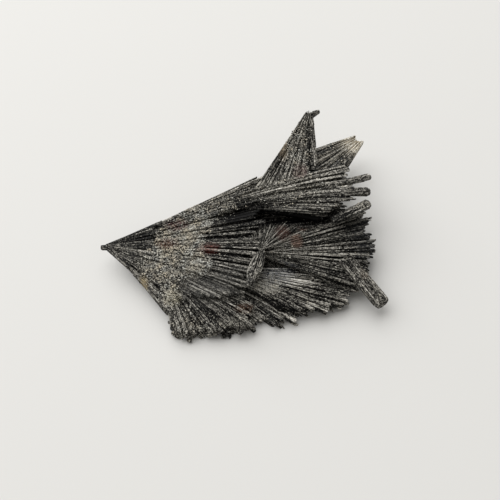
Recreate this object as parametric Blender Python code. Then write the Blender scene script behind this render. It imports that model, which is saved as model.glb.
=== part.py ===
"""A black kyanite fan: one natural specimen of bladed crystals, all grown together.

The blades lie in sprays. A spray is a fan of blades that leave one root, laid in one or more layers, and
the sprays overlap and are fused in one solid. The specimen lies on its underside, which is worn flat
where it meets the surface.

Frame: metres, +Z up, +X from the pointed root end to the splayed end, origin at the middle of the
underside of the bounding box. The sprays' own values are in millimetres and degrees.
"""

import math
import random
from dataclasses import dataclass

import bmesh
import bpy
from mathutils import Matrix, Vector

MM = 0.001
NODE_NAME = "kyanite_fan"
SEED = 24

# The sprays are laid out round the point under the specimen's knot. This moves that plan, in mm, so that
# the middle of the box's underside is the origin.
PLAN_TO_BOX = Vector((1.66, -8.76, -1.0))
WORN_HEIGHT = 1.0  # the height, in the plan, at which the underside is worn flat

# A layer of blades is one comb: a plate with a band for each blade, and a step between neighbours.
LENGTHS_PER_BLADE = 2  # straight stretches along a blade
STEP_SHARE = 0.09  # the step between two blades, as a share of a blade's width
LOWER_START = 0.4  # where the blades of a lower layer begin, as a share of their length
RAGGED = 0.08  # how much a blade's length varies, as a share of it
STEP_HEIGHT = 0.9  # how much the blades' heights vary at their tips, in mm
TILT_HEIGHT = 0.7  # how much a blade's one edge is higher than its other at the tip, in mm
START_THICKNESS = 0.5  # a layer's thickness where its blades begin, as a share of that at their tips

# Lumps along the broken front rim.
CRUMBS = 26
CRUMB_TURNS = (0.25, 1.0)  # the stretch of the front fan's rim that they lie on
CRUMB_REACH = (0.86, 0.96)  # how far out, as a share of the blades' length
CRUMB_DEPTH = 3.0  # how far under the fan's upper face, at the tips
CRUMB_SIZE = (1.6, 3.2)

# The block that wears the underside flat.
GROUND_SIDE = 200.0
GROUND_DEPTH = 20.0

# A single blade is a box that widens from its root and ends in a slanted break.
ROOT_SHARE = 0.45  # the width at its root, as a share of the width at its tip
TIP_SLANT = 0.4  # how far the break leans, as a share of the width
BLADE_ROLL = 14.0  # how far a blade is turned about its length, at most, in degrees
ROSETTE_WIDTH = 1.15  # a rosette's blades' width, as a share of their thickness
ROSETTE_THICKNESS = (0.9, 1.15)  # how a rosette's blades vary in thickness


@dataclass(frozen=True)
class Spray:
    """A fan of blades. Each tuple of values runs evenly across it, from its back edge to its front."""

    name: str
    root: tuple  # where its blades meet
    headings: tuple  # in the plan, from +X towards +Y
    lengths: tuple
    rises: tuple  # how much higher a tip is than the root
    blades: int
    thickness: float
    bends: tuple = (0.0,)  # how far a blade turns over its length
    layers: tuple = ((0.0, 1.0),)  # each layer's depth under the top at the tips, and its share of the length
    start: float = 0.05  # where the blades begin, as a share of their length


@dataclass(frozen=True)
class Blade:
    """A blade that stands alone, from its root to its tip."""

    root: tuple
    tip: tuple
    width: float
    thickness: float
    root_share: float = ROOT_SHARE


SPRAYS = (
    Spray("great_fan", (-48.3, 1.0, 8.2), (23.6, 17.5, 10, 3, -4, -11, -18, -25, -31, -36, -38.5),
          (61.5, 56, 54, 54.5, 54.5, 53.5, 50, 38, 34, 34, 33),
          (7, 7, 5.6, 4.8, 4.8, 3.5, 1, -1.5, -2.5, -3.5, -3.5), 26, 2.4,
          bends=(3, 1, 0, -2, -4, -8, -10, -12, -13, -14, -14), layers=((0, 1.0), (4.2, 0.95)), start=0.08),
    Spray("under_fan", (-40, 1, 5.0), (-1, -6, -10, -15, -20, -25, -28), (74, 74, 72, 61, 53, 47, 43),
          (-0.5, -1, -1.5, -2, -2.5, -3, -3.5), 17, 3.2, bends=(-11, -11, -11, -10, -10, -10, -12),
          start=0.2),
    Spray("crest", (-14, 13.2, 12.6), (23, 17.5, 12, 7, 2.5, -2.5), (51.5, 51, 50, 49.5, 48.5, 40),
          (6.6, 6.4, 6.0, 5.4, 4.6, 2.2), 10, 2.8, bends=(-14, -12, -10, -9, -9, -6),
          layers=((0, 1.0), (3.2, 0.97)), start=0.06),
    Spray("middle_fan", (-32, 4, 7.2), (26, 17, 8, 0, -7, -13), (58, 66, 67, 64, 62, 62),
          (0.5, 0.5, 0.5, 0, -1, -2), 11, 3.0, start=0.15),
    Spray("foot_fan", (-30, 4.5, 8.0), (44, 35, 26, 16, 6, -3), (26, 34, 48, 58, 62, 62), (-7.0,),
          10, 3.0, start=0.1),
    Spray("knot_fan", (1.5, -3.5, 12.0), (29, 21, 13, 6, -1, -9, -19), (40.5, 41.5, 41.2, 40.6, 41, 39, 38.5),
          (-2.5, -3, -3.5, -4, -4.5, -5, -6), 15, 2.4, bends=(0, 0, 0, 0, 0, 0, 2),
          layers=((0, 1.0), (2.8, 0.95))),
    # the spikes at the back narrow outwards, so their roots are their tips
    Spray("tall_spike", (21.5, 51.0, 22.4), (-122.5, -116, -109, -101.5, -94), (38, 35, 32, 29, 27),
          (-9, -8.5, -8, -7.5, -7.5), 5, 3.6, start=0.11),
    Spray("pale_spike", (43.0, 46.8, 12.5), (-156, -147, -138, -129, -120), (28, 33, 32, 30, 28),
          (0, 0.5, 1, 1, 1), 6, 4.2, start=0.22),
    Spray("front_fan", (-29.0, -8.6, 8.2), (-10, -20, -27, -36, -46, -57, -66, -73),
          (28, 35, 36.5, 31, 26.5, 24.2, 23.3, 19.2), (-1.6, -2.6, -3.6, -4.2, -4.6, -4.6, -4.6, -4.2),
          12, 2.4, bends=(-5, -6, -7, -8, -8, -8, -8, -8), layers=((0, 1.0), (3.4, 0.96)), start=0.1),
    Spray("silver_fan", (-5.9, -3.2, 9.8), (-16, -20.5, -25.5, -30, -38, -46, -55, -66),
          (37, 42.5, 38.5, 33, 32, 30.5, 28.5, 25), (-4.5, -5, -5.3, -5.6, -6, -6, -6, -5.5),
          12, 2.6, bends=(-2, -2, -3, -3, -4, -4, -5, -5), start=0.2),
    # the leaf of short blades that lies in front of the knot
    Spray("chevron", (4.4, -2.6, 13.9), (-84, -96, -107, -118, -130), (12.5, 13.5, 14, 13.5, 12),
          (-2.6, -3.2, -3.4, -3.2, -2.8), 5, 1.8, bends=(-44, -22, 0, 14, 28), start=0.08),
)

# Needles that stand apart from one another, up from the knot.
NEEDLES = Spray("needles", (3.5, -3.4, 12.9), (150, 125, 105, 86, 66, 48, 34), (9, 11, 13, 14, 15, 17, 19),
                (-0.8, -1.4, -2.2, -2.6, -2.6, -2.6, -2), 12, 1.2)

LONE_BLADES = (
    # fingers past the crest's end, and the block under them
    Blade((25.0, 18.9, 17.4), (40.3, 21.9, 19.0), 2.2, 2.0, 0.9),
    Blade((24.0, 16.9, 17.0), (39.8, 16.4, 18.0), 2.8, 2.1, 0.8),
    Blade((27.0, 7.0, 14.6), (39.7, 13.5, 15.8), 3.1, 2.4, 0.9),
    # the narrow ridge down the tall spike's right side, and the hook at its top
    Blade((21.7, 26.5, 15.8), (21.0, 46.4, 20.9), 1.7, 2.5, 1.5),
    Blade((20.0, 46.0, 21.0), (24.1, 47.9, 22.0), 1.8, 1.4, 1.0),
    # the blade that lies across the splayed end
    Blade((30.2, -5.6, 12.2), (43.2, -19.6, 5.6), 5.0, 2.7, 0.95),
    # the knob at the root of the sprays
    Blade((-49.2, 0.8, 8.1), (-44.5, 0.8, 8.3), 2.0, 2.3, 0.9),
)


def across(values, turn):
    """The value at turn, from 0 at a spray's back edge to 1 at its front."""
    place = turn * (len(values) - 1)
    low = max(min(int(place), len(values) - 2), 0)
    high = min(low + 1, len(values) - 1)
    return values[low] + (values[high] - values[low]) * (place - low)


def spray_point(spray, turn, along, depth=0.0):
    """The point at a share of the way across a spray and along its blades."""
    heading = math.radians(across(spray.headings, turn) + across(spray.bends, turn) * along / 2)
    reach = across(spray.lengths, turn) * along
    rise = (across(spray.rises, turn) - depth) * along
    return Vector(spray.root) + Vector((reach * math.cos(heading), reach * math.sin(heading), rise))


def add_comb(bm, spray, depth, share, rng):
    """One layer of a spray: a plate from its root to its ragged rim, in a band for each blade."""
    columns = 2 * spray.blades - 1
    grid = bmesh.ops.create_grid(bm, x_segments=LENGTHS_PER_BLADE, y_segments=columns, size=0.5)
    lower = grid["verts"]
    region = list(dict.fromkeys(face for v in lower for face in v.link_faces))
    grown = bmesh.ops.extrude_face_region(bm, geom=region, use_keep_orig=True)
    upper = [item for item in grown["geom"] if isinstance(item, bmesh.types.BMVert)]
    heights = [rng.uniform(-0.5, 0.5) * STEP_HEIGHT for _ in range(spray.blades)]
    start = max(spray.start, LOWER_START) if depth else spray.start
    tilts = [rng.uniform(-0.5, 0.5) * TILT_HEIGHT for _ in range(spray.blades)]
    ends = [share * (1 - rng.uniform(0, RAGGED)) for _ in range(spray.blades)]
    slants = [rng.uniform(-0.5, 0.5) * RAGGED for _ in range(spray.blades)]
    for verts, side in ((lower, -0.5), (upper, 0.5)):
        for v in verts:
            column = round((v.co.y + 0.5) * columns)
            blade, edge = divmod(column, 2)
            way = 1 if edge else -1
            turn = (blade + 0.5 + way * (0.5 - STEP_SHARE)) / spray.blades
            place = v.co.x + 0.5
            end = ends[blade] + way * slants[blade] / 2
            along = start + (end - start) * place
            swell = START_THICKNESS + (1 - START_THICKNESS) * place
            lift = (heights[blade] + way * tilts[blade] + side * spray.thickness) * swell
            v.co = spray_point(spray, turn, along, depth) + Vector((0, 0, lift))


def add_box(bm, matrix):
    """A unit cube set by matrix, as the vertices that it added."""
    box = bmesh.new()
    bmesh.ops.create_cube(box, size=1.0)
    box.transform(matrix)
    mesh = bpy.data.meshes.new("box")
    box.to_mesh(mesh)
    box.free()
    before = len(bm.verts)
    bm.from_mesh(mesh)
    bpy.data.meshes.remove(mesh)
    bm.verts.ensure_lookup_table()
    return bm.verts[before:]


def add_blade(bm, blade, rng):
    """One flat-faced blade that widens from its root to its tip."""
    root = Vector(blade.root)
    run = Vector(blade.tip) - root
    ahead = run.normalized()
    sideways = Vector((0, 0, 1)).cross(ahead).normalized()
    frame = Matrix((ahead, sideways, ahead.cross(sideways))).transposed()
    roll = Matrix.Rotation(math.radians(rng.uniform(-BLADE_ROLL, BLADE_ROLL)), 3, "X")
    slant = rng.uniform(-TIP_SLANT, TIP_SLANT)
    for v in add_box(bm, Matrix.Identity(4)):
        place = v.co.x + 0.5
        swell = blade.root_share + (1 - blade.root_share) * place
        flat = Vector((0, v.co.y * blade.width, v.co.z * blade.thickness)) * swell
        flat.x = place * (run.length + slant * flat.y)
        v.co = root + frame @ roll @ flat


def add_rosette(bm, spray, rng):
    """Blades that stand apart, spread evenly over a spray."""
    for number in range(spray.blades):
        turn = number / (spray.blades - 1)
        end = 1 - rng.uniform(0, RAGGED) * 2
        tip = spray_point(spray, turn, end)
        root = spray_point(spray, turn, spray.start)
        width = spray.thickness * ROSETTE_WIDTH
        thickness = spray.thickness * rng.uniform(*ROSETTE_THICKNESS)
        add_blade(bm, Blade(root, tip, width, thickness), rng)


def add_crumbs(bm, rng):
    """The broken lumps along the rim of the front fan."""
    spray = next(spray for spray in SPRAYS if spray.name == "front_fan")
    for number in range(CRUMBS):
        turn = CRUMB_TURNS[0] + (CRUMB_TURNS[1] - CRUMB_TURNS[0]) * (number + rng.random()) / CRUMBS
        place = spray_point(spray, turn, rng.uniform(*CRUMB_REACH), rng.uniform(0, CRUMB_DEPTH))
        size = Matrix.Diagonal([rng.uniform(*CRUMB_SIZE) for _ in range(3)]).to_4x4()
        turned = Matrix.Rotation(rng.uniform(0, math.tau), 4, (rng.random(), rng.random(), 1))
        add_box(bm, Matrix.Translation(place) @ turned @ size)


def kyanite():
    """The mineral: graphite black, with a pearly gloss on its cleavage faces."""
    material = bpy.data.materials.new("black_kyanite")
    material.use_nodes = True
    surface = material.node_tree.nodes["Principled BSDF"]
    surface.inputs["Base Color"].default_value = (0.085, 0.082, 0.076, 1.0)
    surface.inputs["Roughness"].default_value = 0.42
    surface.inputs["Metallic"].default_value = 0.0
    return material


def linked(name, bm, collection):
    """bm as a named object in collection."""
    mesh = bpy.data.meshes.new(name)
    bm.to_mesh(mesh)
    bm.free()
    obj = bpy.data.objects.new(name, mesh)
    collection.objects.link(obj)
    return obj


def crystals():
    """Every comb, blade and crumb, overlapping as they grew, in mm."""
    rng = random.Random(SEED)
    bm = bmesh.new()
    for spray in SPRAYS:
        for depth, share in spray.layers:
            add_comb(bm, spray, depth, share, rng)
    add_rosette(bm, NEEDLES, rng)
    for blade in LONE_BLADES:
        add_blade(bm, blade, rng)
    add_crumbs(bm, rng)
    bmesh.ops.recalc_face_normals(bm, faces=bm.faces)
    return bm


def shells(bm):
    """The mesh's separate closed surfaces, each as its faces."""
    found = []
    left = set(bm.faces)
    while left:
        shell = set()
        edge_of_shell = [left.pop()]
        while edge_of_shell:
            face = edge_of_shell.pop()
            shell.add(face)
            for edge in face.edges:
                for other in edge.link_faces:
                    if other in left:
                        left.remove(other)
                        edge_of_shell.append(other)
        found.append(shell)
    return found


def volume_of(faces):
    """The volume that these faces enclose, below zero where they face a pocket."""
    total = 0.0
    for face in faces:
        corners = [loop.vert.co for loop in face.loops]
        for second, third in zip(corners[1:], corners[2:]):
            total += corners[0].dot(second.cross(third)) / 6
    return total


def fill_pockets(obj):
    """Fills the sealed pockets between the layers, and takes the mesh from millimetres to metres."""
    bm = bmesh.new()
    bm.from_mesh(obj.data)
    pockets = [shell for shell in shells(bm) if volume_of(shell) < 0]
    bmesh.ops.delete(bm, geom=[face for shell in pockets for face in shell], context="FACES")
    bmesh.ops.scale(bm, vec=(MM, MM, MM), verts=bm.verts)
    bm.to_mesh(obj.data)
    bm.free()


def build():
    for obj in list(bpy.data.objects):
        bpy.data.objects.remove(obj)
    specimen = bpy.data.collections.new("black_kyanite_fan")
    cutters = bpy.data.collections.new("cutters")
    for collection in (specimen, cutters):
        bpy.context.scene.collection.children.link(collection)
    cutters.hide_render = True

    ground = bmesh.new()
    bmesh.ops.create_cube(ground, size=1.0)
    bmesh.ops.scale(ground, vec=(GROUND_SIDE, GROUND_SIDE, GROUND_DEPTH), verts=ground.verts)
    bmesh.ops.translate(ground, vec=(0, 0, WORN_HEIGHT - GROUND_DEPTH / 2), verts=ground.verts)
    cutter = linked("worn_underside", ground, cutters)
    cutter.hide_render = True
    cutter.display_type = "WIRE"

    fan = linked(NODE_NAME, crystals(), specimen)
    grown = fan.modifiers.new("grown_together", "BOOLEAN")
    grown.operation = "DIFFERENCE"
    grown.solver = "EXACT"
    grown.use_self = True
    grown.object = cutter
    graph = bpy.context.evaluated_depsgraph_get()
    fan.data = bpy.data.meshes.new_from_object(fan.evaluated_get(graph))
    fan.modifiers.remove(grown)
    fan.data.materials.clear()
    fill_pockets(fan)
    fan.data.transform(Matrix.Translation(PLAN_TO_BOX * MM))
    fan.data.materials.append(kyanite())


build()
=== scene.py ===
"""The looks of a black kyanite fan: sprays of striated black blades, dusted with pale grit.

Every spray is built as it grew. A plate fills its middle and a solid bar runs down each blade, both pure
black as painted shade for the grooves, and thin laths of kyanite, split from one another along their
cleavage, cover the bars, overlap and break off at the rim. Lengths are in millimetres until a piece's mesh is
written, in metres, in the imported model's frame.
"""

import math
import random
from dataclasses import dataclass

import bmesh
import bpy
import numpy as np
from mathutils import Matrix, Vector
from mathutils.bvhtree import BVHTree


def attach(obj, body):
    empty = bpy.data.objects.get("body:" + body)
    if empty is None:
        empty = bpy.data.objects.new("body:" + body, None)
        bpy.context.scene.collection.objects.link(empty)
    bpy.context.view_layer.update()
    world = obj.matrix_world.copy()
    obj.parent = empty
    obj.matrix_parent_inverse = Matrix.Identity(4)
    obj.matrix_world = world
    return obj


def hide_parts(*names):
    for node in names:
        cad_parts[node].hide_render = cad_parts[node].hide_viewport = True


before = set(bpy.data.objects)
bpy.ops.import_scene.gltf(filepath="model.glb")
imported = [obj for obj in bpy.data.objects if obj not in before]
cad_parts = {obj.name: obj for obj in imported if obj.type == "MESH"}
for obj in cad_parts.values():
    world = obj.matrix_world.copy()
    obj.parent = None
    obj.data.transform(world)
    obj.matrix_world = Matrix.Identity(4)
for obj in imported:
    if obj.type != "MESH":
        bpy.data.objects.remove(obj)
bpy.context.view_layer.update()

MM = 0.001
NODE = "kyanite_fan"
BAND_SEED = 24
LATH_SEED = 4

# Every place below is in the plan that the sprays are laid out in, round the point under the knot. This
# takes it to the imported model's frame.
PLAN_TO_BOX = np.array((1.66, -8.76, -1.0))
LOWEST = 0.03  # nothing lies lower over the floor

# The bands of a spray, one to a blade, stepped against their neighbours.
STEP_SHARE = 0.09
LOWER_START = 0.4
RAGGED = 0.08
STEP_HEIGHT = 0.9
TILT_HEIGHT = 0.7

# The laths that cover the bands.
LATH_WIDTHS = (0.5, 1.5)  # at the rim
SPLINTER_WIDTHS = (0.25, 0.55)
LATH_FILL = (0.86, 1.02)  # how much of its place a lath fills
LATH_THICKNESS = 0.5
LEAST_WIDTH = 0.12  # near the root
TIER_DEPTH = 0.4  # how far one tier of laths lies under the one above it
BED_INSET = 1.1  # how far the plate in the middle lies under the laths' faces
LATH_RUNS = (0.25, 1.5)  # how far a lath runs before it breaks off, as a share of its band
SPLINTERS = 2  # loose ones, to a band
SPLINTER_RUNS = (0.08, 0.3)
HEART_WIDTH = 0.86  # how much of a band the bar in it fills
BAND_TONES = 0.08  # how much bands differ, where 1 is from black to silver
LATH_TONES = 0.08
GROOVE_SHADE_TONE = -0.4  # of what lies under the laths: pure black, below the kyanite's own grey, as painted shade in the grooves between laths


@dataclass(frozen=True)
class Spray:
    """A fan of bands. Each tuple of values runs evenly across it, from its back edge to its front."""

    name: str
    root: tuple
    headings: tuple
    lengths: tuple
    rises: tuple
    blades: int
    thickness: float
    bends: tuple = (0.0,)
    layers: tuple = ((0.0, 1.0),)
    start: float = 0.05
    covered: float = 0.86  # how much of a band its laths cover, which leaves a groove along each side, black with the painted shade of what lies beneath


SPRAYS = (
    Spray("great_fan", (-48.3, 1.0, 8.2), (23.1, 17.3, 10, 3, -4, -11, -18, -25, -31, -36, -38.5),
          (61.5, 56, 54, 54.5, 54.5, 53.5, 50, 38, 34, 34, 33),
          (7, 7, 5.6, 4.8, 4.8, 3.5, 1, -1.5, -2.5, -3.5, -3.5), 26, 2.4,
          bends=(3, 1, 0, -2, -4, -8, -10, -12, -13, -14, -14), layers=((0, 1.0), (4.2, 0.95)), start=0.03),
    Spray("under_fan", (-40, 1, 5.0), (3, -0.5, -4, -7.5, -11, -14, -17, -20),
          (74.5, 75, 72.5, 65.5, 62.5, 61, 56.5, 50), (-0.5, -1, -1.3, -1.6, -2, -2.4, -2.8, -3.2), 17, 3.2,
          bends=(-20, -22, -24, -24, -24, -24, -24, -24), start=0.2),
    Spray("crest", (-14, 13.2, 12.6), (23, 17.5, 12, 7, 2.5, -2.5), (51.5, 51, 50, 49.5, 48.5, 40),
          (6.6, 6.4, 6.0, 5.4, 4.6, 2.2), 10, 2.8, bends=(-14, -12, -10, -9, -9, -6),
          layers=((0, 1.0), (3.2, 0.97)), start=0.06, covered=0.91),
    Spray("middle_fan", (-32, 4, 7.2), (26, 17, 8, 0, -7, -13), (58, 66, 67, 64, 62, 62),
          (0.5, 0.5, 0.5, 0, -1, -2), 11, 3.0, start=0.15),
    Spray("foot_fan", (-30, 4.5, 8.0), (44, 35, 26, 16, 6, -3), (26, 34, 48, 58, 62, 62), (-7.0,),
          10, 3.0, start=0.1),
    Spray("knot_fan", (1.5, -3.5, 12.0), (29, 21, 13, 6, -1, -9, -19), (42, 42.8, 41.2, 40.6, 41, 39, 38.5),
          (-2.5, -3, -3.5, -4, -4.5, -5, -6), 15, 2.4, bends=(0, 0, 0, 0, 0, 0, 2),
          layers=((0, 1.0), (2.8, 0.95)), covered=0.82),
    Spray("tall_spike", (21.5, 51.0, 22.4), (-122.5, -116, -109, -101.5, -94), (39, 37.5, 35, 32, 30),
          (-9, -8.5, -8, -7.5, -7.5), 5, 3.6, start=0.11, covered=0.98),
    Spray("pale_spike", (43.0, 46.8, 12.5), (-156, -147, -138, -129, -120), (28, 33, 32, 30, 28),
          (0, 0.5, 1, 1, 1), 6, 4.2, start=0.22, covered=0.94),
    Spray("front_fan", (-29.0, -8.6, 8.2), (-10, -20, -27, -36, -46, -57, -66, -73),
          (28, 35, 36.5, 31, 26.5, 24.2, 23.3, 19.2), (-1.6, -2.6, -3.6, -4.2, -4.6, -4.6, -4.6, -4.2),
          12, 2.4, bends=(-5, -6, -7, -8, -8, -8, -8, -8), layers=((0, 1.0), (3.4, 0.96)), start=0.1,
          covered=0.78),
    Spray("silver_fan", (-12, -8.5, 10.9), (3, -3, -7.5, -11.5, -15, -18.5, -21, -24, -26.5),
          (38, 42.5, 45, 45, 42.5, 40, 34.5, 31, 27), (-5.5, -6, -6.5, -6.6, -6.6, -6.6, -6.6, -6.6, -6.4),
          12, 2.6, bends=(0, -1, -2), start=0.3, covered=0.82),
)

# Short sprays at the knot: thin needles that stand apart, and the leaf of fine blades in front of them.
NEEDLES = Spray("needles", (3.5, -3.4, 13.4), (160, 136, 116, 92, 68, 48, 30), (8, 11, 12, 12, 13, 15, 18),
                (-0.8, -1.4, -2.2, -2.6, -2.6, -2.6, -2), 240, 0.2, start=0.03)
CHEVRON = Spray("chevron", (4.4, -2.6, 14.5), (-76, -92, -107, -122, -138), (13, 14.4, 15.2, 14.6, 13),
                (-0.8, -1.2, -1.4, -1.4, -1.2), 5, 1.8, bends=(-60, -30, 0, 24, 48), start=0.08,
                covered=1.0)

# Blades that stand alone: root, tip, width, thickness and the share of the width at the root.
LONE_BLADES = {
    "fingers": (
        ((25.0, 18.9, 17.4), (40.3, 21.9, 19.0), 2.0, 1.9, 0.9),
        ((24.0, 16.9, 17.0), (39.8, 16.4, 18.0), 2.7, 2.0, 0.8),
        ((27.0, 7.0, 14.6), (39.7, 13.5, 15.8), 3.0, 2.3, 0.9),
    ),
    "crest_edge": (
        ((-2.0, 12.6, 12.6), (20.0, 11.2, 13.6), 1.0, 0.8, 0.7),
        ((2.0, 13.2, 13.8), (27.0, 11.4, 15.0), 1.1, 0.8, 0.7),
        ((8.0, 12.0, 12.4), (31.0, 10.6, 13.4), 1.2, 0.9, 0.6),
    ),
    "spike_rib": (
        ((21.7, 26.5, 15.8), (21.0, 46.4, 20.9), 1.7, 2.4, 1.5),
        ((20.0, 46.0, 21.0), (24.1, 47.9, 22.0), 1.0, 0.9, 2.0),
    ),
    "cross_blade": (((30.2, -5.6, 12.2), (43.0, -19.4, 5.6), 5.3, 2.6, 0.9),),
    "knob": (((-49.2, 0.8, 8.1), (-45.5, 0.8, 8.3), 1.6, 1.8, 0.8),),
}

LONE_LATH_WIDTH = 0.62

# Wide smooth laths over the narrow end of the great fan, before the grit begins.
APEX_LATHS = 15
APEX_REACH = (0.30, 0.36)
APEX_LIFT = 0.25  # so that they lie over the narrow laths


def across(values, turn):
    """The value at turn, from 0 at a spray's back edge to 1 at its front."""
    if len(values) == 1:
        return values[0] + 0 * turn
    return np.interp(turn, np.linspace(0, 1, len(values)), values)


def spray_point(spray, turn, along, depth=0.0):
    """Points at shares of the way across a spray and along its blades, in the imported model's frame."""
    heading = np.radians(across(spray.headings, turn) + across(spray.bends, turn) * along / 2)
    reach = across(spray.lengths, turn) * along
    rise = (across(spray.rises, turn) - depth) * along
    out = np.stack((reach * np.cos(heading), reach * np.sin(heading), rise), axis=-1)
    return np.array(spray.root) + PLAN_TO_BOX + out


# Modelling by hand -------------------------------------------------------------------------------

# Where the masters are cut and how they are shaped, in shares of a blade's length, width and thickness.
LATH_CUTS = (0.35, 0.7)
LATH_CHAMFER = 0.2
LATH_BREAK = 0.985  # its far end breaks off here
RIDGE_PLACE = 0.12  # a ridge runs this far off the lath's middle
STEP_RUN = 0.015  # a cleavage step's slope is this long
STEP_DROP = 0.35
BAR_CUTS = (0.2, 0.4, 0.6, 0.8, 0.94, 0.98)
BAR_CHAMFER = 0.24
NEEDLE_CUTS = (0.4, 0.85)


def fresh(operator, **settings):
    """A new primitive, alone in the selection, in edit mode with all of it selected."""
    bpy.ops.object.select_all(action="DESELECT")
    operator(**settings)
    made = bpy.context.object
    bpy.ops.object.mode_set(mode="EDIT")
    bpy.ops.mesh.select_all(action="SELECT")
    return made


def select(made, kind, wanted):
    """Selects, in edit mode, the verts, edges or faces for which wanted is true."""
    bpy.ops.mesh.select_all(action="DESELECT")
    bpy.ops.mesh.select_mode(type={"verts": "VERT", "edges": "EDGE", "faces": "FACE"}[kind])
    mesh = bmesh.from_edit_mesh(made.data)
    for item in getattr(mesh, kind):
        if wanted(item):
            item.select_set(True)
    mesh.select_flush_mode()
    bmesh.update_edit_mesh(made.data)


def cut_across(places):
    """Cuts the mesh square across X at each place."""
    for place in places:
        bpy.ops.mesh.select_all(action="SELECT")
        bpy.ops.mesh.bisect(plane_co=(place, 0, 0), plane_no=(1, 0, 0))


def break_off(place, lean_y, lean_z):
    """Breaks the end off along a leaning plane."""
    bpy.ops.mesh.select_all(action="SELECT")
    bpy.ops.mesh.bisect(plane_co=(place, 0, 0), plane_no=(1, lean_y, lean_z), clear_outer=True, use_fill=True)


def runs_along(edge):
    """Whether an edge lies along the blade."""
    run = edge.verts[1].co - edge.verts[0].co
    return abs(run.x) > 4 * max(abs(run.y), abs(run.z), 1e-6)


def taken(made):
    """The finished mesh as (points, faces), and the object removed."""
    bpy.ops.object.mode_set(mode="OBJECT")
    bpy.ops.object.transform_apply(location=True, rotation=True, scale=True)
    mesh = made.data
    points = np.array([v.co for v in mesh.vertices])
    faces = [tuple(face.vertices) for face in mesh.polygons]
    bpy.data.objects.remove(made)
    bpy.data.meshes.remove(mesh)
    return points, faces


def rod():
    """A cube from 0 to 1 in X, in edit mode: what every blade starts from."""
    made = fresh(bpy.ops.mesh.primitive_cube_add, size=1, location=(0.5, 0, 0))
    bpy.ops.object.mode_set(mode="OBJECT")
    bpy.ops.object.transform_apply(location=True)
    bpy.ops.object.mode_set(mode="EDIT")
    return made


def lath(lean=(0.0, 0.02), step=None, ridge=0.0):
    """A lath of one unit: long flat faces, chamfered or ridged, with a leaning break at its far end."""
    made = rod()
    cut_across(LATH_CUTS)
    if ridge:
        bpy.ops.mesh.select_all(action="SELECT")
        bpy.ops.mesh.bisect(plane_co=(0, RIDGE_PLACE, 0), plane_no=(0, 1, 0))
        select(made, "verts", lambda v: abs(v.co.y - RIDGE_PLACE) < 0.01 and v.co.z > 0.4)
        bpy.ops.transform.translate(value=(0, 0, ridge))
    else:
        select(made, "edges", runs_along)
        bpy.ops.mesh.bevel(offset=LATH_CHAMFER, segments=1, affect="EDGES")
    if step:
        cut_across((step, step + STEP_RUN))
        select(made, "verts", lambda v: v.co.x > step + STEP_RUN / 2 and v.co.z > 0)
        bpy.ops.transform.translate(value=(0, 0, -STEP_DROP))
    break_off(LATH_BREAK, *lean)
    return taken(made)


def bar():
    """The solid heart of a blade: chamfered, and rounded off at its far end."""
    made = rod()
    cut_across(BAR_CUTS)
    select(made, "edges", runs_along)
    bpy.ops.mesh.bevel(offset=BAR_CHAMFER, segments=1, affect="EDGES")
    select(made, "verts", lambda v: v.co.x > 0.97)
    bpy.ops.transform.resize(value=(1, 0.86, 0.8))
    select(made, "verts", lambda v: v.co.x > 0.99)
    bpy.ops.transform.resize(value=(1, 0.55, 0.45))
    return taken(made)


def needle():
    """A thin blade that narrows to a chisel point."""
    made = rod()
    cut_across(NEEDLE_CUTS)
    select(made, "faces", lambda face: face.normal.x > 0.9)
    bpy.ops.transform.resize(value=(1, 0.25, 0.4))
    return taken(made)


def chip(seed, subdivisions=1, cuts=3):
    """An angular grain: a coarse ball with its sides cut flat."""
    made = fresh(bpy.ops.mesh.primitive_ico_sphere_add, subdivisions=subdivisions, radius=0.5)
    rng = random.Random(seed)
    for _ in range(cuts):
        normal = Vector((rng.uniform(-1, 1), rng.uniform(-1, 1), rng.uniform(-1, 1))).normalized()
        bpy.ops.mesh.select_all(action="SELECT")
        bpy.ops.mesh.bisect(plane_co=normal * rng.uniform(0.2, 0.34), plane_no=normal,
                            clear_outer=True, use_fill=True)
    return taken(made)


# Laying copies -----------------------------------------------------------------------------------


class Batch:
    """Copies of masters that become one mesh, with the attributes that the materials read."""

    def __init__(self):
        self.points = []
        self.faces = []
        self.streaks = []
        self.tones = []
        self.count = 0

    def add(self, points, faces, streak, tone):
        """Adds a copy, unless it lies wholly under the floor, and lifts what reaches below it."""
        if points[:, 2].max() < 2 * LOWEST:
            return
        points = points.copy()
        points[:, 2] = np.maximum(points[:, 2], LOWEST)
        self.points.append(points)
        self.faces.extend(tuple(index + self.count for index in face) for face in faces)
        self.streaks.append(streak)
        self.tones.append(np.full(len(points), tone))
        self.count += len(points)

    def make(self, name, material):
        """The batch as a piece that stands for the node and rides on the one body."""
        points = np.concatenate(self.points)
        mesh = bpy.data.meshes.new(name)
        mesh.from_pydata((points * MM).tolist(), [], self.faces)
        streak = mesh.attributes.new("streak", "FLOAT_VECTOR", "POINT")
        streak.data.foreach_set("vector", np.concatenate(self.streaks).astype(np.float32).ravel())
        tone = mesh.attributes.new("tone", "FLOAT", "POINT")
        tone.data.foreach_set("value", np.concatenate(self.tones).astype(np.float32))
        mesh.materials.append(material)
        piece = bpy.data.objects.new(name, mesh)
        bpy.context.scene.collection.objects.link(piece)
        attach(piece, "root")
        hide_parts(NODE)


def unit(vectors):
    """The vectors, each made 1 long."""
    return vectors / np.linalg.norm(vectors, axis=1, keepdims=True)


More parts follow.
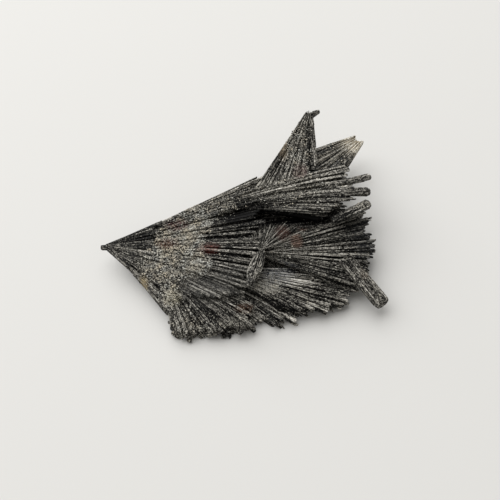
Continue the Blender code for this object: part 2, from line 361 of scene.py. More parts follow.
def lay(batch, master, path, width, thickness, roll, tone, rng):
    """A copy of master bent along path, which gives points for shares of the way."""
    points, faces = master
    x, y, z = points.T
    ahead = unit(path(x + 0.01) - path(x - 0.01))
    side = unit(np.cross((0, 0, 1), ahead))
    up = np.cross(ahead, side)
    broad = y * width(x)
    deep = z * thickness(x)
    cos, sin = math.cos(roll), math.sin(roll)
    placed = path(x) + side * (broad * cos - deep * sin)[:, None] + up * (broad * sin + deep * cos)[:, None]
    length = np.linalg.norm(path(np.array([1.0])) - path(np.array([0.0])))
    seed = np.array([rng.uniform(0, 900), rng.uniform(0, 90), rng.uniform(0, 90)])
    batch.add(placed, faces, np.stack((x * length, broad, deep), axis=-1) + seed, tone)


@dataclass(frozen=True)
class Band:
    """One blade's place in a spray: its step up, its tilt, where it ends and how its end slants."""

    height: float
    tilt: float
    end: float
    slant: float


def bands_of(spray, share, rng):
    """A layer's bands, where share is how far the layer reaches along the spray."""
    heights = [rng.uniform(-0.5, 0.5) * STEP_HEIGHT for _ in range(spray.blades)]
    tilts = [rng.uniform(-0.5, 0.5) * TILT_HEIGHT for _ in range(spray.blades)]
    ends = [share * (1 - rng.uniform(0, RAGGED)) for _ in range(spray.blades)]
    slants = [rng.uniform(-0.5, 0.5) * RAGGED for _ in range(spray.blades)]
    return [Band(*values) for values in zip(heights, tilts, ends, slants)]


def abreast(width, rng):
    """Laths of unlike widths side by side: where each lies, from -0.5 to 0.5, and its share of the width."""
    widths = [rng.uniform(*LATH_WIDTHS)]
    while sum(widths) < width - min(LATH_WIDTHS):
        widths.append(rng.uniform(*LATH_WIDTHS))
    shares = [each / sum(widths) for each in widths]
    return [(sum(shares[:number]) + share / 2 - 0.5, share) for number, share in enumerate(shares)]


class Comb:
    """One layer of a spray: its bands, and the surfaces and laths that follow them."""

    def __init__(self, spray, depth, share, rng):
        self.spray = spray
        self.depth = depth
        self.start = max(spray.start, LOWER_START) if depth else spray.start
        self.bands = bands_of(spray, share, rng)

    def point(self, band, offset, place, level, drift=0.0):
        """The point at a share of the way along a band, offset across it from -0.5 to 0.5, and from its
        under face at level -0.5 to its upper face at 0.5."""
        spray = self.spray
        its = self.bands[band]
        end = its.end + offset * its.slant
        along = self.start + (end - self.start) * place
        turn = (band + 0.5 + 2 * offset * (0.5 - STEP_SHARE)) / spray.blades + drift * place
        lift = (its.height + 2 * offset * its.tilt + level * spray.thickness) * (0.5 + place / 2)
        points = spray_point(spray, turn, along, self.depth)
        points[..., 2] += lift
        return points

    def band_width(self, band):
        """How wide a band is at its rim, or would be if it kept on widening as it does at its middle."""
        return max(np.linalg.norm(np.subtract(*self.point(band, np.array([-0.5, 0.5]), place, 0.0))) / place
                   for place in (0.5, 1.0))

    def lath(self, batch, master, band, offset, level, reach, wide, tone, rng, rough=1.0, roll=0.15):
        """Lays one lath, so wide at the rim, on a band between the two shares of the way in reach."""
        begin, finish = reach
        drift = rng.gauss(0, 0.16) * rough / self.spray.blades
        sway = rng.gauss(0, 0.1) * rough
        bow = rng.gauss(0, 0.08) * rough
        phase = rng.uniform(0, math.tau)
        raised = rng.gauss(0, 0.08) * rough

        def path(t):
            place = begin + (finish - begin) * t
            points = self.point(band, offset, place, level, drift)
            points[..., 1] += sway * np.sin(phase + 5 * place) * place
            points[..., 2] += (bow * np.sin(phase + 4 * place) + raised) * place
            return points

        thick = LATH_THICKNESS * rng.uniform(0.7, 1.3)

        def width(x):
            return np.maximum(wide * (begin + (finish - begin) * x), LEAST_WIDTH)

        def thickness(x):
            return thick * (0.45 + 0.55 * (begin + (finish - begin) * x))

        lay(batch, master, path, width, thickness, rng.gauss(0, roll), tone, rng)

    def heart(self, batch, core, band, rng):
        """The solid bar down the middle of a band."""
        begin, finish = 0.1, rng.uniform(0.94, 0.97)
        wide = self.band_width(band) * HEART_WIDTH
        deep = self.spray.thickness - 0.5

        def path(t):
            return self.point(band, 0.0, begin + (finish - begin) * t, -0.06)

        # Painted shade: the bar is pure black, so that the grooves beside it read as deep shadow.
        lay(batch, core, path, lambda x: np.maximum(wide * (begin + (finish - begin) * x), 0.3),
            lambda x: deep * (0.5 + (begin + (finish - begin) * x) / 2), 0.0, GROOVE_SHADE_TONE, rng)

    def laths(self, batch, masters, rng):
        """Covers a layer's faces with laths side by side, some of them broken along their way."""
        spray = self.spray
        for band in range(spray.blades):
            breadth = self.band_width(band)
            tint = rng.gauss(0.5, BAND_TONES)
            for offset, share in abreast(breadth, rng):
                edge = 4 * offset * offset
                upper = 0.5 - 0.2 * edge - 0.5 * TIER_DEPTH / spray.thickness
                under = -0.5 + 0.15 * edge
                for level in (upper, under):
                    place = rng.uniform(-0.02, 0.12)
                    rim = 1.0 - 0.06 * edge + rng.gauss(0, 0.014)
                    while place < rim - 0.06:
                        finish = place + rng.uniform(*LATH_RUNS)
                        finish = rim if finish > rim - 0.15 else finish
                        wide = spray.covered * breadth * share * rng.uniform(*LATH_FILL)
                        self.lath(batch, rng.choice(masters), band, spray.covered * offset, level,
                                  (place, finish), wide, rng.gauss(tint, LATH_TONES), rng)
                        place = finish + rng.uniform(-0.04, 0.02)
            for _ in range(SPLINTERS):
                begin = rng.uniform(0.05, 0.85)
                level = 0.5 + rng.uniform(-0.05, 0.15) / spray.thickness
                self.lath(batch, rng.choice(masters), band, rng.uniform(-0.5, 0.5), level,
                          (begin, min(begin + rng.uniform(*SPLINTER_RUNS), 1.0)),
                          rng.uniform(*SPLINTER_WIDTHS), rng.gauss(tint, LATH_TONES), rng,
                          rough=1.8, roll=0.4)
            if band in (0, spray.blades - 1):
                side = -0.5 if band == 0 else 0.5
                for offset, share in abreast(spray.thickness, rng):
                    reach = (rng.uniform(-0.02, 0.3), rng.uniform(0.85, 1.0))
                    self.lath(batch, rng.choice(masters), band, side, 0.8 * offset, reach,
                              spray.thickness * share, rng.gauss(tint, LATH_TONES), rng, roll=0.6)

    def apex(self, batch, master, rng):
        """Wide laths from the spray's narrow end outwards, side by side."""
        opening = math.radians(self.spray.headings[0] - self.spray.headings[-1])
        spread = self.spray.lengths[0] * opening / APEX_LATHS
        begin = self.start * 0.5
        for number in range(APEX_LATHS):
            turn = (number + 0.5) / APEX_LATHS
            finish = rng.uniform(*APEX_REACH)

            def path(t):
                place = begin + (finish - begin) * t
                points = spray_point(self.spray, turn, place)
                points[..., 2] += (0.5 * self.spray.thickness + APEX_LIFT) * (0.5 + place / 2) + 0.1
                return points

            lay(batch, master, path, lambda x: np.maximum(0.86 * spread * finish * x, 0.3),
                lambda x: 0.35 + 0.25 * x, rng.gauss(0, 0.12), rng.gauss(0.4, 0.12), rng)

    def bed(self, batch):
        """The plate that fills the middle of the layer: a grid with two columns a band, given a thickness."""
        columns = 2 * self.spray.blades - 1
        made = fresh(bpy.ops.mesh.primitive_grid_add, x_subdivisions=5, y_subdivisions=columns, size=1)
        bpy.ops.mesh.extrude_region_move(TRANSFORM_OT_translate={"value": (0, 0, 1)})
        bpy.ops.mesh.select_all(action="SELECT")
        bpy.ops.mesh.normals_make_consistent(inside=False)
        points, faces = taken(made)
        column = np.rint((points[:, 1] + 0.5) * columns).astype(int)
        upper = points[:, 2] > 0.5
        inset = np.where(upper, BED_INSET, 0.45 * BED_INSET) / self.spray.thickness
        level = np.where(upper, 0.5 - inset, -0.5 + inset)
        place = (points[:, 0] + 0.5) * 0.9
        placed = np.empty_like(points)  # column 0 is a band's back edge and 1 its front edge
        for at in range(len(points)):
            band, edge = divmod(int(column[at]), 2)
            placed[at] = self.point(band, edge - 0.5, place[at], level[at])
        # Painted shade: the plate is pure black, like the bars.
        batch.add(placed, faces, placed, GROOVE_SHADE_TONE)


def straight(root, tip):
    """A path from root to tip."""
    root = np.array(root) + PLAN_TO_BOX
    run = np.array(tip) + PLAN_TO_BOX - root
    return lambda t: root + run * t[:, None]


def lone_blade(batch, core, masters, rng, root, tip, width, thickness, root_share):
    """A blade that stands alone: a rounded bar, with laths along its faces."""
    columns = max(4, round(width / LONE_LATH_WIDTH))
    run = Vector(tip) - Vector(root)
    side = Vector((0, 0, 1)).cross(run).normalized()

    def swell(x):
        return root_share + (1 - root_share) * x

    def on_face(x, place, drop):
        return Vector(root) + run * x + side * (place * width * swell(x)) + Vector((0, 0, drop * swell(x)))

    lay(batch, core, straight(root, tip), lambda x: 0.94 * width * swell(x),
        lambda x: 0.9 * thickness * swell(x), 0.0, 0.45, rng)
    for face in (0.46, -0.46):
        for column in range(columns):
            place = (column + 0.5) / columns - 0.5
            drop = face * thickness * (1 - 0.5 * (2 * place) ** 2)
            begin = rng.uniform(0, 0.15)
            while begin < 0.85:
                end = min(begin + rng.uniform(0.3, 0.9), rng.uniform(0.965, 0.985) - 0.24 * place * place)
                path = straight(on_face(begin, place, drop), on_face(end, place, drop))
                lay(batch, rng.choice(masters), path, lambda x: 0.95 * width / columns * swell(x),
                    lambda x: 0.45 * swell(x), rng.gauss(0, 0.2), rng.gauss(0.53, 0.1), rng)
                begin = end + rng.uniform(0, 0.03)


def rosette(batch, masters, spray, rng):
    """Thin blades that stand apart, spread over a turn in the plan."""
    root = np.array(spray.root)
    for number in range(spray.blades):
        turn = (number + rng.random()) / spray.blades
        angle = math.radians(float(across(spray.headings, turn)) + rng.gauss(0, 9))
        reach = float(across(spray.lengths, turn)) * (1 - abs(rng.gauss(0, 0.14)))
        rise = float(across(spray.rises, turn)) + rng.gauss(0, 0.5)
        run = np.array((reach * math.cos(angle), reach * math.sin(angle), rise))
        first = root + run * rng.uniform(spray.start, 0.3)
        thick = spray.thickness * rng.uniform(0.7, 1.3)
        lay(batch, rng.choice(masters), straight(first, root + run), lambda x: thick * (0.5 + 0.5 * x),
            lambda x: thick * (0.6 + 0.4 * x), rng.gauss(0, 0.4), rng.gauss(0.5, 0.2), rng)


# Materials ---------------------------------------------------------------------------------------


def linear(code):
    """An sRGB hex colour as linear RGBA."""
    values = [int(code[at:at + 2], 16) / 255 for at in (1, 3, 5)]
    return [v / 12.92 if v <= 0.04045 else ((v + 0.055) / 1.055) ** 2.4 for v in values] + [1.0]


def add(tree, kind, inputs=None, output=0, stops=(), **settings):
    """Adds a shader node with its settings, its inputs set or linked by name or number, and a ramp's stops as
    (place, hex colour), and gives one of its outputs."""
    node = tree.nodes.new("ShaderNode" + kind)
    for name, value in settings.items():
        setattr(node, name, value)
    for key, value in (inputs or {}).items():
        if isinstance(value, bpy.types.NodeSocket):
            tree.links.new(value, node.inputs[key])
        else:
            node.inputs[key].default_value = value
    for number, (place, code) in enumerate(stops):
        if number >= len(node.color_ramp.elements):
            node.color_ramp.elements.new(place)
        node.color_ramp.elements[number].position = place
        node.color_ramp.elements[number].color = linear(code)
    return node.outputs[output]


def new_material(name):
    """A new material, its tree and its surface shader."""
    material = bpy.data.materials.new(name)
    material.use_nodes = True
    tree = material.node_tree
    return material, tree, tree.nodes["Principled BSDF"]


def zone(tree, place, centre, radii, softness):
    """1 inside an ellipsoid in millimetres, falling to 0 over its soft edge."""
    offset = add(tree, "VectorMath", {0: place, 1: centre}, operation="SUBTRACT")
    scaled = add(tree, "VectorMath", {0: offset, 1: radii}, operation="DIVIDE")
    reach = add(tree, "VectorMath", {0: scaled}, "Value", operation="LENGTH")
    return add(tree, "MapRange", {"Value": reach, "From Min": 1.0 + softness, "From Max": 1.0 - softness},
               interpolation_type="SMOOTHSTEP")


# Where pale grit has grown over the blades: centre and radii in mm, and how thick it lies.
DUST_ZONES = (
    ((-23.2, -1.1), (7.5, 9.7), 1.0),
    ((-29.8, -6.6), (5.9, 5.1), 0.8),
    ((-18.2, 8.9), (5.2, 5.1), 0.95),
    ((-9.5, 13.9), (4.3, 4.3), 0.45),
    ((-23.0, -12.2), (3.6, 3.6), 0.15),
    ((-26.2, -16.0), (2.4, 4.0), 0.8),
    ((-18.0, -28.6), (7.5, 2.4), 0.5),
    ((-3.5, -25.4), (7.0, 2.0), 0.35),
    ((-21.8, -24.0), (3.2, 4.4), 0.25),
    ((-16.5, -7.8), (4.0, 3.4), 0.8),
    ((6.0, -13.6), (4.2, 2.9), 0.55),
    ((16.4, 35.4), (3.0, 11.7), 0.5),
    ((30.5, 34.5), (6.6, 5.4), 0.4),
    ((11.0, 18.9), (17.2, 4.8), 0.3),
    ((37.1, 12.2), (2.6, 1.9), 0.35),
    ((8.1, -3.3), (5.3, 2.7), 0.12),
)

# Stains, with painted light among them: the last two lay near-black painted shade in the hollow under the
# crest, where the crest's shadow falls, and the bluish one lays a painted sheen over the silver blades.
# Centre and radii in mm, strength and colour.
STAINS_SHADE_AND_SHEEN = (
    ((-13.3, -2.0, 12.0), (3.2, 1.9, 4.0), 0.42, "#632a1f"),
    ((-24.2, 7.2, 11.0), (3.8, 1.8, 4.0), 0.36, "#602c2c"),
    ((-27.0, 0.5, 11.0), (3.2, 1.9, 4.0), 0.36, "#704834"),
    ((15.2, 1.2, 12.0), (1.9, 2.4, 4.0), 0.44, "#94786a"),
    ((10.8, 4.4, 12.0), (2.2, 3.4, 4.0), 0.36, "#70524a"),
    ((17.3, 7.0, 12.0), (1.7, 1.6, 4.0), 0.3, "#7a5a4c"),
    ((16.8, 25.0, 17.5), (2.2, 2.8, 4.0), 0.2, "#a08480"),
    ((11.2, 34.6, 20.0), (1.5, 5.0, 5.0), 0.26, "#b4a186"),
    ((36.8, -10.5, 11.5), (1.6, 2.0, 4.0), 0.09, "#8f7460"),
    ((-13.5, -15.5, 9.0), (7.5, 4.6, 5.0), 0.38, "#605f5c"),
    ((-4.0, -12.5, 10.0), (7.0, 5.0, 5.0), 0.28, "#605f5c"),
    ((38.0, 4.0, 10.0), (5.0, 9.0, 6.0), 0.3, "#26292d"),
    # Painted sheen: a bluish tint over the silver blades, where they catch the light.
    ((9.5, -10.2, 10.5), (5.5, 3.2, 4.0), 0.2, "#747f95"),
    ((-19.8, 3.0, 12.0), (3.4, 3.0, 4.0), 0.22, "#cbc5b6"),
    ((-17.8, -9.0, 11.0), (2.6, 2.6, 4.0), 0.2, "#cbc5b6"),
    ((-24.8, -17.6, 8.5), (2.6, 2.8, 4.0), 0.26, "#cbc4ac"),
    ((-34.6, -12.3, 7.0), (1.6, 2.6, 4.0), 0.4, "#a89670"),
    ((-1.6, -21.1, 7.0), (3.0, 1.4, 4.0), 0.25, "#70503c"),
    # Painted shade: near-black in the hollow under the crest, where its shadow falls.
    ((10.7, 10.4, 11.0), (17.0, 2.4, 4.5), 0.85, "#020203"),
    ((-5.0, 9.2, 12.0), (6.4, 2.0, 4.5), 0.6, "#040405"),
)

# Painted light and shade on the clean blades: zones whose colour is made lighter, as a painted silver sheen
# where faces catch the light, or darker, as painted shade in the hollow under the crest, on the crest's front
# side and at roots and gaps. Centre and radii in mm, and how much.
PAINTED_SHEEN_AND_SHADE = (
    ((8.8, -9.9, 10.5), (5.0, 3.0, 4.0), 0.15),
    ((5.8, -13.4, 10.0), (3.8, 2.8, 4.0), 0.26),
    ((11.5, -17.5, 8.0), (4.0, 2.4, 4.0), -0.06),
    ((15.2, -12.2, 9.5), (4.8, 1.6, 4.0), 0.2),
    ((19.6, -19.8, 6.0), (2.2, 0.9, 4.0), 0.12),
    ((14.0, -12.5, 8.0), (9.0, 3.5, 5.0), 0.03),
    ((29.0, 9.0, 15.0), (4.0, 3.0, 3.0), -0.12),
    ((22.5, 16.5, 19.0), (6.5, 3.0, 4.0), -0.05),
    ((20.0, 11.5, 16.5), (12.0, 2.5, 3.0), 0.03),
    ((-35.0, -7.0, 8.0), (6.0, 3.0, 5.0), -0.03),
    ((13.0, 19.5, 18.0), (19.0, 5.0, 5.0), 0.03),
    ((-2.5, 6.5, 12.0), (7.0, 3.0, 5.0), -0.05),
    ((2.0, 4.0, 13.0), (3.0, 3.0, 5.0), 0.04),
    ((20.0, 6.0, 10.0), (6.0, 3.0, 5.0), -0.02),
    ((-5.0, -12.5, 10.0), (7.5, 5.5, 6.0), 0.045),
    ((0.5, -1.0, 12.5), (6.0, 4.5, 5.0), -0.03),
    ((5.0, -17.5, 8.0), (5.0, 5.0, 5.0), 0.05),
    ((-23.0, -14.5, 9.0), (5.0, 4.5, 5.0), -0.1),
    ((26.0, -5.5, 9.0), (10.0, 2.6, 5.0), 0.045),
    ((27.0, -14.0, 7.0), (6.0, 3.0, 5.0), -0.05),
    ((31.0, -19.8, 6.0), (6.0, 2.4, 5.0), 0.14),
    ((20.0, -24.5, 5.0), (7.0, 3.0, 5.0), 0.15),
    ((7.5, -27.5, 5.0), (7.5, 2.4, 5.0), -0.09),
    ((36.0, -1.0, 9.0), (5.0, 5.0, 5.0), -0.06),
    ((32.5, -7.0, 12.0), (3.0, 2.6, 4.0), -0.09),
    ((-29.0, 10.0, 10.0), (4.0, 2.5, 4.0), 0.12),
    ((-35.5, 1.8, 9.0), (5.5, 3.0, 4.0), -0.07),
    ((14.0, 30.0, 18.0), (8.0, 16.0, 8.0), -0.02),
    ((7.5, 14.2, 14.5), (19.0, 2.4, 2.6), -0.1),
    ((-3.0, 10.5, 13.0), (9.5, 5.0, 5.0), -0.11),
    ((-12.1, -24.5, 5.0), (13.0, 5.0, 6.0), -0.03),
    ((-40.5, 5.0, 9.5), (9.0, 4.5, 6.0), -0.03),
    ((-48.5, 0.8, 8.0), (4.0, 2.5, 4.0), -0.07),
    ((19.9, 33.0, 18.0), (0.9, 6.0, 6.0), -0.2),
)

DASH_SCALE = (1.0, 2.6, 2.6)  # per mm: cleavage steps 1 mm long and under half a millimetre across
STRIA_SCALE = (0.12, 3.4, 3.4)  # per mm: striae a third of a millimetre apart that run some 8 mm
FLECK_SCALE = 2.7  # per mm: grit and cleavage flecks of less than half a millimetre
CLOUD_SCALE = 0.33  # per mm: clouds of 3 mm
RELIEF = 0.12 * MM  # how deep the cleavage steps and striae are

# How much each pattern counts in a blade's brightness, and what brings their sum to the colour ramps' middle.
DASH_SHARE = 0.78
STRIA_SHARE = 0.63
FLECK_SHARE = 0.48
TONE_SHARE = 0.4
LEVEL = -0.643

ZONE_EDGE = 0.5  # how soft the edge of a stain, a painted shade or a painted sheen is, as a share of its radii
DUST_EDGE = 0.3
KYANITE_IOR = 1.72
GRIT_IOR = 1.56  # mica's, a little over quartz's


def plan_place(tree):
    """The place on the object, in millimetres in the sprays' plan."""
    metres = add(tree, "TexCoord", output="Object")
    place = add(tree, "VectorMath", {0: metres, "Scale": 1 / MM}, operation="SCALE")
    return add(tree, "VectorMath", {0: place, 1: PLAN_TO_BOX}, operation="SUBTRACT")


def patterns(tree):
    """What the kyanite materials share: the place, the brightness there, the dashes and the flecks."""
    streak = add(tree, "Attribute", output="Vector", attribute_name="streak")
    tone = add(tree, "Attribute", output="Fac", attribute_name="tone")
    place = plan_place(tree)
    stretched = add(tree, "VectorMath", {0: streak, 1: DASH_SCALE}, operation="MULTIPLY")
    dashes = add(tree, "TexNoise", {"Vector": stretched, "Scale": 1.0, "Detail": 2.0, "Roughness": 0.7})
    stretched = add(tree, "VectorMath", {0: streak, 1: STRIA_SCALE}, operation="MULTIPLY")
    striae = add(tree, "TexNoise", {"Vector": stretched, "Scale": 1.0, "Detail": 2.0, "Roughness": 0.6})
    flecks = add(tree, "TexNoise", {"Vector": place, "Scale": FLECK_SCALE, "Detail": 1.0, "Roughness": 0.6})
    level = LEVEL
    shares = ((dashes, DASH_SHARE), (striae, STRIA_SHARE), (flecks, FLECK_SHARE), (tone, TONE_SHARE))
    for part, share in shares:
        level = add(tree, "Math", {0: part, 1: share, 2: level}, operation="MULTIPLY_ADD")
    return place, level, dashes, flecks


def with_stains_shade_and_sheen(tree, place, breaks, colour):
    """The colour with every stain, painted shade and painted sheen in the table laid over it, broken up by a
    noise.
    """
    broken = add(tree, "MapRange", {
        "Value": breaks, "From Min": 0.42, "From Max": 0.58, "To Min": 0.2, "To Max": 1.8})
    for centre, radii, strength, code in STAINS_SHADE_AND_SHEEN:
        here = zone(tree, place, centre, radii, ZONE_EDGE)
        stain = add(tree, "Math", {0: here, 1: strength}, operation="MULTIPLY")
        stain = add(tree, "Math", {0: stain, 1: broken}, operation="MULTIPLY", use_clamp=True)
        colour = add(tree, "Mix", {0: stain, 6: colour, 7: linear(code)}, 2, data_type="RGBA")
    return colour


def black_kyanite():
    """Black kyanite, split along its cleavage: long striae, a soft gloss on clean faces, grit in hollows, and
    painted sheen and painted shade laid into its colour by zone.
    """
    material, tree, surface = new_material("black_kyanite")
    place, level, dashes, flecks = patterns(tree)
    clouds = add(tree, "TexNoise", {"Vector": place, "Scale": CLOUD_SCALE, "Detail": 2.0})
    # Painted highlight and painted shade: each zone raises or lowers the blades' brightness. The ramp's
    # near-white top is reached mostly where a painted sheen lifts it.
    for centre, radii, amount in PAINTED_SHEEN_AND_SHADE:
        here = zone(tree, place, centre, radii, ZONE_EDGE)
        level = add(tree, "Math", {0: here, 1: amount, 2: level}, operation="MULTIPLY_ADD")
    clean = add(tree, "ValToRGB", {"Fac": level}, stops=(
        (0.41, "#030303"), (0.465, "#1c1c1b"), (0.515, "#52514d"), (0.57, "#7a7771"), (0.67, "#b0ada5"),
        (0.80, "#eceae4")))

    dust = 0.0
    for (x, y), (wide, deep), strength in DUST_ZONES:
        here = zone(tree, place, (x, y, 10.0), (wide, deep, 40.0), DUST_EDGE)
        here = add(tree, "Math", {0: here, 1: strength}, operation="MULTIPLY")
        dust = add(tree, "Math", {0: dust, 1: here}, operation="MAXIMUM")
    gritty = add(tree, "ValToRGB", {"Fac": flecks}, stops=(
        (0.41, "#050505"), (0.47, "#2c2b29"), (0.52, "#8a877f"), (0.57, "#d2cec2"), (0.64, "#f0ece0")))
    cover = add(tree, "Math", {0: clouds, 1: 0.35}, operation="ADD")
    cover = add(tree, "Math", {0: cover, 1: dust}, operation="MULTIPLY", use_clamp=True)
    colour = add(tree, "Mix", {0: cover, 6: clean, 7: gritty}, 2, data_type="RGBA")
    sparse = add(tree, "MapRange", {"Value": flecks, "From Min": 0.62, "From Max": 0.7, "To Max": 0.5})
    colour = add(tree, "Mix", {0: sparse, 6: colour, 7: linear("#aeaba2")}, 2, data_type="RGBA")

    colour = with_stains_shade_and_sheen(tree, place, flecks, colour)

    tree.links.new(colour, surface.inputs["Base Color"])
    rough = add(tree, "MapRange", {
        "Value": dashes, "From Min": 0.3, "From Max": 0.7, "To Min": 0.36, "To Max": 0.62})
    tree.links.new(rough, surface.inputs["Roughness"])
    surface.inputs["IOR"].default_value = KYANITE_IOR
    surface.inputs["Specular IOR Level"].default_value = 0.06
    height = add(tree, "Math", {0: dashes, 1: flecks}, operation="ADD")
    bump = add(tree, "Bump", {"Height": height, "Distance": RELIEF, "Strength": 0.8})
    tree.links.new(bump, surface.inputs["Normal"])
    return material


def grit():
    """Mica and quartz grit: angular grains from pale cream to grey, a few of them dark."""
    material, tree, surface = new_material("mica_and_quartz_grit")
    tone = add(tree, "Attribute", output="Fac", attribute_name="tone")
    colour = add(tree, "ValToRGB", {"Fac": tone}, stops=(
        (0.0, "#060606"), (0.3, "#2a2928"), (0.5, "#7c7a76"), (0.8, "#bfbcb5"), (1.0, "#e6e3dc")))
    place = plan_place(tree)
    breaks = add(tree, "TexNoise", {"Vector": place, "Scale": FLECK_SCALE, "Detail": 1.0})
    clouds = add(tree, "TexNoise", {"Vector": place, "Scale": CLOUD_SCALE, "Detail": 2.0})
    warmth = add(tree, "ValToRGB", {"Fac": clouds}, stops=((0.38, "#f5f9fa"), (0.62, "#fdf7ea")))
    colour = add(tree, "Mix", {0: 1.0, 6: colour, 7: warmth}, 2, data_type="RGBA", blend_type="MULTIPLY")
    tree.links.new(with_stains_shade_and_sheen(tree, place, breaks, colour), surface.inputs["Base Color"])
    surface.inputs["Roughness"].default_value = 0.5
    surface.inputs["IOR"].default_value = GRIT_IOR
    surface.inputs["Specular IOR Level"].default_value = 0.2
    return material


PALE_TIP = (40.0, 41.5, 13.0)  # the centre of the cream end, and its radii
PALE_RADII = (7.5, 7.0, 9.0)


def pale_kyanite():
    """Kyanite that paled to cream and lets light through at its thin tip."""
    material, tree, surface = new_material("pale_kyanite")
    place, level, dashes, flecks = patterns(tree)
    grey = add(tree, "ValToRGB", {"Fac": level}, stops=(
        (0.40, "#070706"), (0.46, "#262421"), (0.51, "#56534c"), (0.57, "#858179"), (0.67, "#bcb7ab")))
    cream = add(tree, "ValToRGB", {"Fac": level}, stops=(
        (0.38, "#988b74"), (0.44, "#d6ccb6"), (0.50, "#f2ecdd"), (0.60, "#fdfaf2")))
    tip = zone(tree, place, PALE_TIP, PALE_RADII, ZONE_EDGE)
    ragged = add(tree, "Math", {0: flecks, 1: 0.8}, operation="ADD")
    ragged = add(tree, "Math", {0: ragged, 1: tip}, operation="MULTIPLY", use_clamp=True)
    colour = add(tree, "Mix", {0: ragged, 6: grey, 7: cream}, 2, data_type="RGBA")
    tree.links.new(colour, surface.inputs["Base Color"])
    clear = add(tree, "Math", {0: tip, 1: 0.2}, operation="MULTIPLY")
    tree.links.new(clear, surface.inputs["Transmission Weight"])
    surface.inputs["Roughness"].default_value = 0.45
    surface.inputs["IOR"].default_value = KYANITE_IOR
    surface.inputs["Specular IOR Level"].default_value = 0.3
    bump = add(tree, "Bump", {"Height": dashes, "Distance": RELIEF, "Strength": 0.8})
    tree.links.new(bump, surface.inputs["Normal"])
    return material


# The pieces ----------------------------------------------------------------------------------------

CRUMBS = 38
CRUMB_SIZE = (1.3, 3.2)
EDGE_CRUMBS = 34
EDGE_CRUMB_SIZE = (0.7, 2.0)
GRAINS_IN_ZONES = 14000
GRAINS_SPARSE = 600
GRAIN_SIZE = (0.24, 0.66)
GRAINS_PER_PIECE = 4400
GRAIN_TONES = (0.08, 0.2, 0.5, 0.8, 0.95)  # from black mica to white quartz
BRIDGED = ((0.45, 0.35, 1.2), (-0.45, -0.35, 1.2))  # grit bridges a groove up to this far off and this deep
PLAN_SPAN = ((-50, 46), (-32, 49))
GRIT_HEIGHT = 11  # of the sprays' faces, which the grit falls on
FALL = 40  # how far above them it starts


def crumbs(batch, rng):
    """The broken lumps along the front rim."""
    spray = next(spray for spray in SPRAYS if spray.name == "front_fan")
    lumps = [chip(seed, subdivisions=2, cuts=6) for seed in range(10, 14)]
    for number in range(CRUMBS):
        turn = 0.2 + 0.8 * (number + rng.random()) / CRUMBS
        depth = rng.uniform(0, 3.0)
        centre = spray_point(spray, turn, rng.uniform(0.86, 0.98), depth)
        shape, sides = rng.choice(lumps)
        placed = (shape * [rng.uniform(*CRUMB_SIZE) for _ in range(3)]) @ turned(rng) + centre
        # Painted shade: the deeper a lump lies under the rim, the darker it is made.
        batch.add(placed, sides, placed, rng.gauss(0.42 - 0.15 * depth, 0.15))


def edge_crumbs(batch, rng):
    """Smaller lumps along the left front edge, under the great fan."""
    lumps = [chip(seed, subdivisions=2, cuts=6) for seed in range(20, 23)]
    for _ in range(EDGE_CRUMBS):
        turn = rng.uniform(0.955, 0.99)
        centre = spray_point(SPRAYS[0], turn, rng.uniform(0.4, 0.98), rng.uniform(0.6, 3.4))
        shape, sides = rng.choice(lumps)
        placed = (shape * [rng.uniform(*EDGE_CRUMB_SIZE) for _ in range(3)]) @ turned(rng) + centre
        batch.add(placed, sides, placed, rng.gauss(0.5, 0.14))


def turned(rng):
    """A random turn in space, as a matrix for rows."""
    axis = Vector((rng.gauss(0, 1), rng.gauss(0, 1), rng.gauss(0, 1))).normalized()
    return np.array(axis.to_track_quat("Z", "Y").to_matrix())


def sprinkle(batches, material, rng):
    """Grows grit on the faces of all the blades: thick in the zones, sparse elsewhere."""
    points = np.concatenate([np.concatenate(batch.points) for batch in batches])
    faces = []
    first = 0
    for batch in batches:
        faces.extend(tuple(index + first for index in face) for face in batch.faces)
        first += batch.count
    tree = BVHTree.FromPolygons([Vector(p) for p in points], faces)
    grains = [chip(seed) for seed in range(4)]
    weights = [wide * deep * strength ** 2.5 for _, (wide, deep), strength in DUST_ZONES]
    spots = []
    for _ in range(GRAINS_IN_ZONES):
        (x, y), (wide, deep), _ = rng.choices(DUST_ZONES, weights)[0]
        reach = math.sqrt(rng.random()) * 1.15
        angle = rng.uniform(0, math.tau)
        spots.append((x + wide * reach * math.cos(angle), y + deep * reach * math.sin(angle)))
    for _ in range(GRAINS_SPARSE):
        spots.append((rng.uniform(*PLAN_SPAN[0]), rng.uniform(*PLAN_SPAN[1])))
    batch = Batch()
    laid = 0
    pieces = 0
    for x, y in spots:
        lean = Vector((rng.gauss(0, 0.25), rng.gauss(0.3, 0.45), -1)).normalized()
        hit = tree.ray_cast(Vector(PLAN_TO_BOX + (x, y, GRIT_HEIGHT)) - lean * FALL, lean)[0]
        if hit is None:
            continue
        for aside in BRIDGED:
            top = tree.ray_cast(hit + Vector(aside), Vector((0, 0, -1)))[0]
            if top is not None and hit.z < top.z:
                hit.z = top.z - rng.uniform(0, 0.2)
        longest = rng.uniform(*GRAIN_SIZE)
        shape, sides = rng.choice(grains)
        size = (longest, longest * rng.uniform(0.6, 1.0), longest * rng.uniform(0.4, 0.8))
        placed = (shape * size) @ turned(rng) + np.array(hit)
        batch.add(placed, sides, placed, rng.choice(GRAIN_TONES) + rng.uniform(-0.1, 0.1))
        laid += 1
        if laid == GRAINS_PER_PIECE:
            pieces += 1
            batch.make(f"grit_{pieces}", material)
            batch, laid = Batch(), 0
    if laid:
        batch.make(f"grit_{pieces + 1}", material)


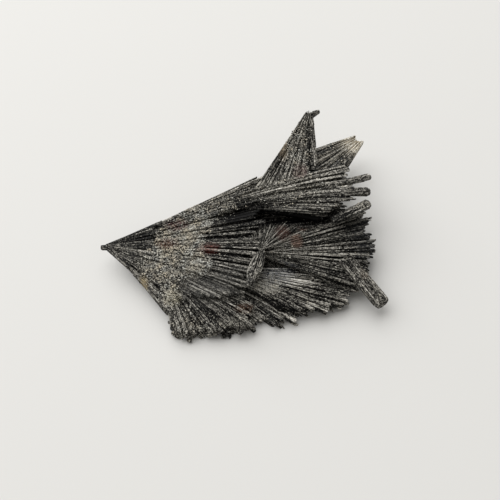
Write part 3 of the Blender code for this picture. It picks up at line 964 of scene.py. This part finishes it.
def build():
    """Lays all the blades, lumps and grains. The chevron's bands are drawn last, as the solid's are."""
    band_rng = random.Random(BAND_SEED)
    combs = [Comb(spray, depth, share, band_rng) for spray in SPRAYS for depth, share in spray.layers]
    rng = random.Random(LATH_SEED)
    masters = [lath(), lath(lean=(0.03, -0.02)), lath(step=0.62), lath(ridge=0.3),
               lath(lean=(-0.03, 0.03), step=0.8)]
    thin = needle()
    core = bar()
    dark = black_kyanite()
    batches = {}
    for comb in combs + [Comb(CHEVRON, 0, 1.0, band_rng)]:
        batch = batches.setdefault(comb.spray.name + ("_lower" if comb.depth else ""), Batch())
        comb.bed(batch)
        for band in range(comb.spray.blades):
            comb.heart(batch, core, band, rng)
        comb.laths(batch, masters, rng)
        if comb is combs[0]:
            comb.apex(batch, masters[0], rng)
    rosette(batches.setdefault("knot_needles", Batch()), [thin, masters[3]], NEEDLES, rng)
    for name, blades in LONE_BLADES.items():
        batches[name] = Batch()
        for blade in blades:
            lone_blade(batches[name], core, masters, rng, *blade)
    crumbs(batches.setdefault("rim_crumbs", Batch()), rng)
    edge_crumbs(batches["rim_crumbs"], rng)
    for name, batch in batches.items():
        batch.make(name, pale_kyanite() if name == "pale_spike" else dark)
    sprinkle(batches.values(), grit(), rng)


# The stage -----------------------------------------------------------------------------------------


FLOOR_SIZE = 5.0  # m

# A big soft lamp, behind the object and to its left, in metres and watts, and a pale room round it.
SOFTBOX_PLACE = (-0.62, 0.74, 1.2)
SOFTBOX_SIZE = 2.6
SOFTBOX_POWER = 44.5
ROOM_STRENGTH = 0.31


def floor():
    """The sheet that it lies on: matt white card."""
    made = fresh(bpy.ops.mesh.primitive_plane_add, size=FLOOR_SIZE)
    bpy.ops.object.mode_set(mode="OBJECT")
    made.name = "floor"
    material, _, surface = new_material("white_card")
    surface.inputs["Base Color"].default_value = linear("#d9d9d8")
    surface.inputs["Roughness"].default_value = 0.9
    surface.inputs["Specular IOR Level"].default_value = 0.2
    made.data.materials.append(material)


def light():
    """Soft light from behind and above, which leaves the front edges in shadow."""
    world = bpy.data.worlds.new("studio")
    world.use_nodes = True
    background = world.node_tree.nodes["Background"]
    background.inputs["Color"].default_value = linear("#fbf8f1")
    background.inputs["Strength"].default_value = ROOM_STRENGTH
    bpy.context.scene.world = world
    lamp = bpy.data.lights.new("softbox", "AREA")
    lamp.shape = "DISK"
    lamp.size = SOFTBOX_SIZE
    lamp.energy = SOFTBOX_POWER
    lamp.color = linear("#fffefc")[:3]
    softbox = bpy.data.objects.new("softbox", lamp)
    bpy.context.scene.collection.objects.link(softbox)
    softbox.location = SOFTBOX_PLACE
    softbox.rotation_euler = Vector(softbox.location).to_track_quat("Z", "Y").to_euler()


CAMERA_TARGET = Vector(PLAN_TO_BOX + (0, 0, 8.0)) * MM
CAMERA_ELEVATION = math.radians(58)
CAMERA_DISTANCE = 0.275
CAMERA_LENS = 60  # mm, on a sensor 36 mm wide


def camera():
    """Looks down on the fan from its front."""
    data = bpy.data.cameras.new("camera")
    data.lens = CAMERA_LENS
    data.sensor_width = 36
    data.clip_start = 0.005
    placed = bpy.data.objects.new("camera", data)
    bpy.context.scene.collection.objects.link(placed)
    back = Vector((0, -math.cos(CAMERA_ELEVATION), math.sin(CAMERA_ELEVATION)))
    placed.location = CAMERA_TARGET + back * CAMERA_DISTANCE
    placed.rotation_euler = back.to_track_quat("Z", "Y").to_euler()
    bpy.context.scene.camera = placed
    bpy.context.scene.view_settings.view_transform = "Standard"


camera()
light()
floor()
build()
